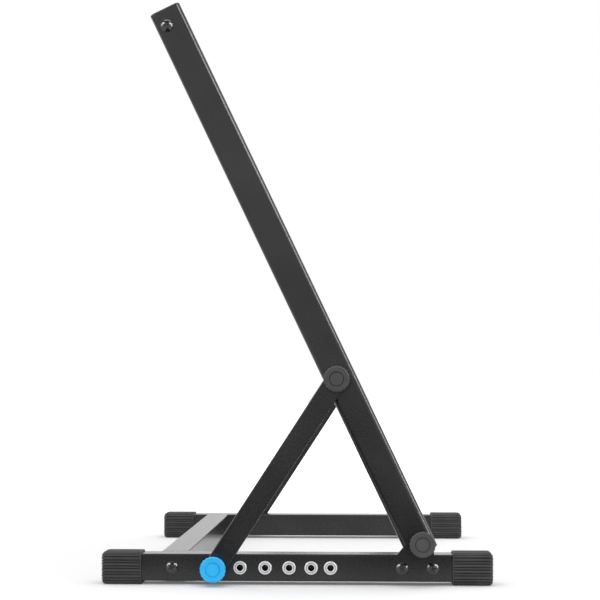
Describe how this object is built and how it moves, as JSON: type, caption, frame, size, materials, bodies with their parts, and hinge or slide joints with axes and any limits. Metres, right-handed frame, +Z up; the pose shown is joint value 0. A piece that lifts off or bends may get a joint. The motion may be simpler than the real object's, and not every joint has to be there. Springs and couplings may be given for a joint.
{
  "type": "tilting rack stand",
  "caption": "Table-top stand for rack equipment: tubular arms tilt on a tube base, propped by flat struts that thumb knobs fix to a row of angle holes.",
  "frame": {"origin": "middle of the footprint, on the surface that the feet stand on", "axes": "+X to the front where the user stands, +Y to the right side, +Z up"},
  "size_m": [0.359, 0.5248, 0.5355],
  "materials": {
    "powder_coat": "satin black powder coat",
    "rubber": "matt black rubber",
    "black_plastic": "matt black moulded plastic",
    "blue_plastic": "light blue moulded plastic",
    "zinc_steel": "bright zinc",
    "black_steel": "glossy black zinc",
    "nylon": "matt black nylon"
  },
  "bodies": {
    "base": {"left_base_tube": "powder_coat", "right_base_tube": "powder_coat", "rear_crossbar": "powder_coat", "rear_crossbar_plugs": "nylon", "rear_crossbar_screws": "black_steel", "left_front_foot": "rubber", "left_rear_foot": "rubber", "right_front_foot": "rubber", "right_rear_foot": "rubber", "left_angle_nuts": "zinc_steel", "right_angle_nuts": "zinc_steel", "left_pivot_bracket": "powder_coat", "right_pivot_bracket": "powder_coat", "left_bracket_screws": "black_steel", "right_bracket_screws": "black_steel", "left_bracket_nuts": "zinc_steel", "right_bracket_nuts": "zinc_steel"},
    "arm_frame": {"left_arm": "powder_coat", "right_arm": "powder_coat", "left_arm_cap": "nylon", "right_arm_cap": "nylon", "top_crossbar": "powder_coat", "top_crossbar_plugs": "nylon", "top_crossbar_screws": "black_steel", "left_pivot_nut": "zinc_steel", "right_pivot_nut": "zinc_steel", "left_strut_nut": "zinc_steel", "right_strut_nut": "zinc_steel"},
    "left_strut_bar": {"left_strut": "powder_coat", "left_strut_spacer": "nylon"},
    "left_pivot_knob_set": {"left_pivot_knob": "black_plastic", "left_pivot_stud": "zinc_steel", "left_pivot_washer": "nylon"},
    "left_strut_knob_set": {"left_strut_knob": "black_plastic", "left_strut_stud": "zinc_steel", "left_strut_washer": "nylon"},
    "left_angle_knob_set": {"left_angle_knob": "blue_plastic", "left_angle_stud": "zinc_steel", "left_angle_washer": "nylon"},
    "right_strut_bar": {"right_strut": "powder_coat", "right_strut_spacer": "nylon"},
    "right_pivot_knob_set": {"right_pivot_knob": "black_plastic", "right_pivot_stud": "zinc_steel", "right_pivot_washer": "nylon"},
    "right_strut_knob_set": {"right_strut_knob": "black_plastic", "right_strut_stud": "zinc_steel", "right_strut_washer": "nylon"},
    "right_angle_knob_set": {"right_angle_knob": "blue_plastic", "right_angle_stud": "zinc_steel", "right_angle_washer": "nylon"}
  },
  "joints": [
    {"name": "arm_tilt", "type": "hinge", "parent": "base", "child": "arm_frame", "pos_m": [0.1146, 0, 0.0388], "axis": [0, 1, 0], "range_deg": [0, 24.8]},
    {"name": "left_strut_swing", "type": "hinge", "parent": "arm_frame", "child": "left_strut_bar", "pos_m": [0.03704, -0.2451, 0.18828], "axis": [0, 1, 0], "range_deg": [-36.3, 0]},
    {"name": "left_pivot_knob_turn", "type": "hinge", "parent": "arm_frame", "child": "left_pivot_knob_set", "pos_m": [0.1146, -0.2529, 0.0388], "axis": [0, -1, 0], "continuous": true},
    {"name": "left_strut_knob_turn", "type": "hinge", "parent": "arm_frame", "child": "left_strut_knob_set", "pos_m": [0.03704, -0.2554, 0.18828], "axis": [0, -1, 0], "continuous": true},
    {"name": "left_angle_knob_turn", "type": "hinge", "parent": "left_strut_bar", "child": "left_angle_knob_set", "pos_m": [-0.075, -0.2554, 0.0157], "axis": [0, -1, 0], "continuous": true},
    {"name": "right_strut_swing", "type": "hinge", "parent": "arm_frame", "child": "right_strut_bar", "pos_m": [0.03704, 0.2451, 0.18828], "axis": [0, 1, 0], "range_deg": [-36.3, 0]},
    {"name": "right_pivot_knob_turn", "type": "hinge", "parent": "arm_frame", "child": "right_pivot_knob_set", "pos_m": [0.1146, 0.2529, 0.0388], "axis": [0, 1, 0], "continuous": true},
    {"name": "right_strut_knob_turn", "type": "hinge", "parent": "arm_frame", "child": "right_strut_knob_set", "pos_m": [0.03704, 0.2554, 0.18828], "axis": [0, 1, 0], "continuous": true},
    {"name": "right_angle_knob_turn", "type": "hinge", "parent": "right_strut_bar", "child": "right_angle_knob_set", "pos_m": [-0.075, 0.2554, 0.0157], "axis": [0, 1, 0], "continuous": true}
  ],
  "couplings": [
    {"joint": "left_strut_swing", "follows": "arm_tilt", "ratio": -1.4599},
    {"joint": "right_strut_swing", "follows": "arm_tilt", "ratio": -1.4599}
  ]
}
